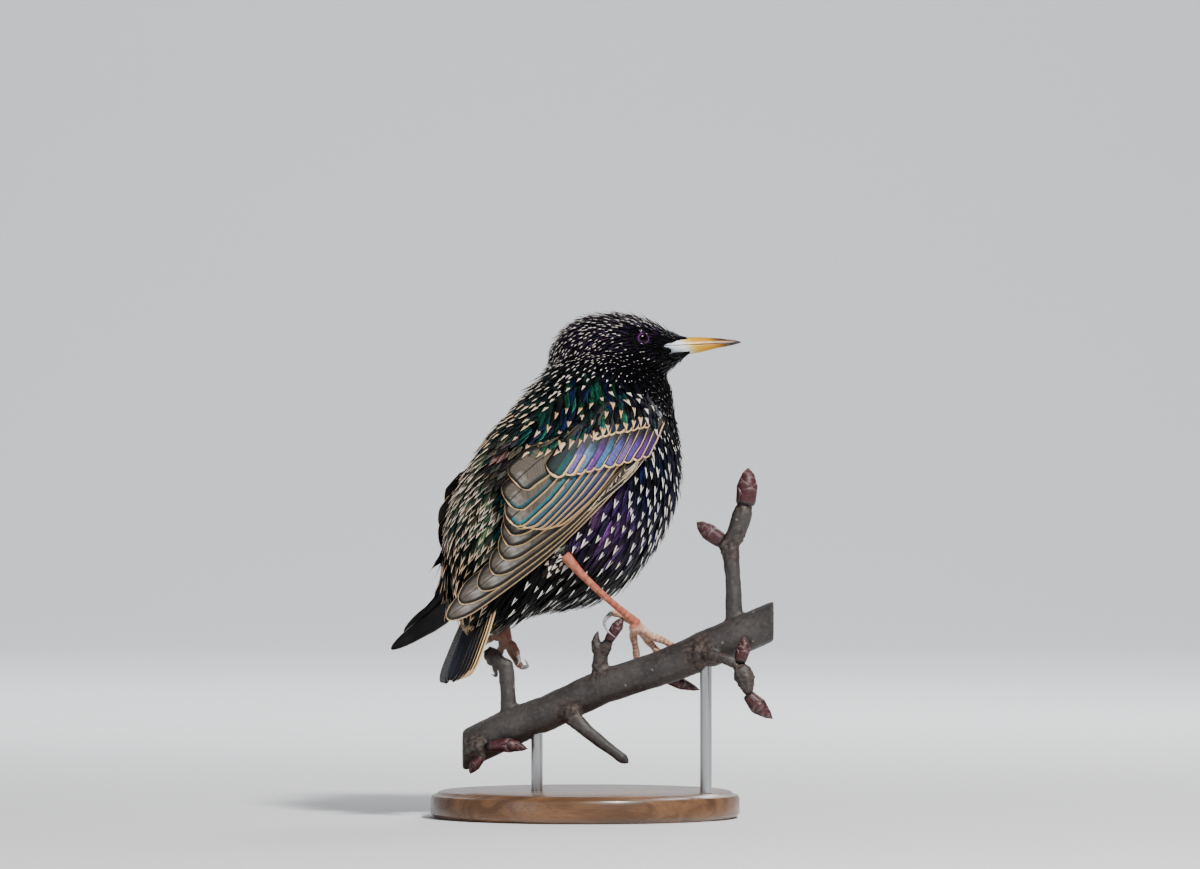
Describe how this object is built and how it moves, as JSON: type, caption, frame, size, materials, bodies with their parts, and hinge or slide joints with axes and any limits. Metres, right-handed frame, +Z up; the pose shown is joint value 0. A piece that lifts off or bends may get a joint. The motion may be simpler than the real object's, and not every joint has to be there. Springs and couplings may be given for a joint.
{
  "type": "life-size bird model on a cut branch and stand",
  "caption": "Life-size still model of a starling, head turned and wings loosely folded, perched on a cut branch that two thin rods hold over a round base.",
  "frame": {"origin": "centre of the round base's flat underside", "axes": "+Z up, +X the way that the bird looks, so the side that the picture shows faces -Y"},
  "size_m": [0.1426, 0.116, 0.1891],
  "materials": {
    "plumage": "glossy black feathers with a green and purple sheen and pale spots",
    "flight_feathers": "satin brown-black vanes with buff edges",
    "bill": "smooth horn, yellow with a dark tip and a bluish base",
    "eye": "wet, near black",
    "leg_skin": "scaly skin with grey horn claws",
    "bark": "smooth dark grey bark with pale flecks",
    "buds": "overlapping reddish scales",
    "rods": "brushed",
    "base_wood": "satin varnish"
  },
  "bodies": {
    "root": {"torso": "plumage", "neck": "plumage", "head": "plumage", "thigh_right": "plumage", "thigh_left": "plumage", "wing_right": "flight_feathers", "wing_left": "flight_feathers", "tail": "flight_feathers", "bill_upper": "bill", "bill_lower": "bill", "eye_left": "eye", "eye_right": "eye", "tarsus_right": "leg_skin", "tarsus_left": "leg_skin", "foot_right": "leg_skin", "foot_left": "leg_skin", "perch_branch": "bark", "perch_bud_foot": "buds", "perch_bud_shoot_side": "buds", "perch_bud_shoot_top": "buds", "perch_bud_side_upper": "buds", "perch_bud_side_lower": "buds", "perch_bud_far": "buds", "perch_bud_low_right": "buds", "perch_bud_low_left": "buds", "stand_rod_left": "rods", "stand_rod_right": "rods", "stand_base": "base_wood"}
  },
  "joints": []
}
